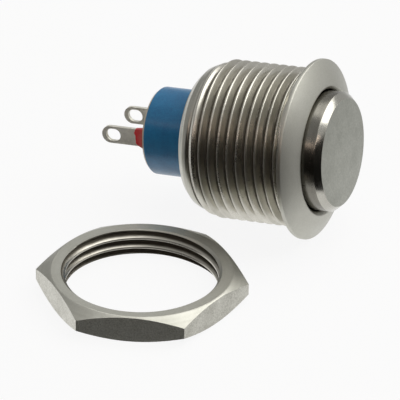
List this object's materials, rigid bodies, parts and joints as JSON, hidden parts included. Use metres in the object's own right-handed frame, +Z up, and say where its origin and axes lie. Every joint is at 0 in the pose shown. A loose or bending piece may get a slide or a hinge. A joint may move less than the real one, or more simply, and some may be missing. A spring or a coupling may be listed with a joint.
{
  "type": "pushbutton switch",
  "caption": "Momentary metal pushbutton switch with a raised round button, threaded barrel, solder terminals and a loose hexagon panel nut beside it.",
  "frame": {"origin": "middle of the flange's seat on the switch's axis, as the switch lies on a table", "axes": "+Z up from the table, along the axis of the panel nut that lies flat beside the switch; +X toward the button's end, along the table; the switch's own axis lies in the XZ plane, raised by 6.29 degrees toward the button"},
  "size_m": [0.0256, 0.0382, 0.0179],
  "materials": {
    "turned_steel": "turned thread, bead-blasted bezel",
    "button_steel": "satin face, polished bevel",
    "nut_steel": "satin",
    "spring_steel": "plain",
    "tinned_brass": "dull tin plate",
    "contact_brass": "plain",
    "contact_silver": "plain",
    "blue_plastic": "moulded satin",
    "white_plastic": "moulded",
    "seal_rubber": "moulded",
    "cream_resin": "poured",
    "red_lacquer": "brushed on"
  },
  "bodies": {
    "switch_body": {"barrel": "turned_steel", "lid_gasket": "seal_rubber", "contact_lid": "white_plastic", "module_housing": "blue_plastic", "terminal_near": "tinned_brass", "terminal_far": "tinned_brass", "fixed_contact_near": "contact_silver", "fixed_contact_far": "contact_silver", "sealing_resin": "cream_resin", "polarity_band": "red_lacquer", "return_spring": "spring_steel", "panel_nut": "nut_steel"},
    "button": {"button_cap": "button_steel", "stem_seal": "seal_rubber", "stem_snap_ring": "spring_steel", "plunger": "white_plastic", "spring_washer": "spring_steel", "contact_spring": "spring_steel", "plunger_clip": "spring_steel"},
    "bridge": {"contact_bridge": "contact_brass", "bridge_contact_near": "contact_silver", "bridge_contact_far": "contact_silver"}
  },
  "joints": [
    {"name": "button_press", "type": "slide", "parent": "switch_body", "child": "button", "axis": [-0.994, 0, -0.1095], "range_m": [0, 0.0012], "stiffness_N_per_m": 1000, "springref_m": -0.0015, "deforming": ["return_spring"]},
    {"name": "bridge_slide", "type": "slide", "parent": "switch_body", "child": "bridge", "axis": [-0.994, 0, -0.1095], "range_m": [0, 0.000888], "deforming": ["contact_spring"]}
  ],
  "couplings": [
    {"joint": "bridge_slide", "follows": "button_press", "ratio": 0.74}
  ]
}
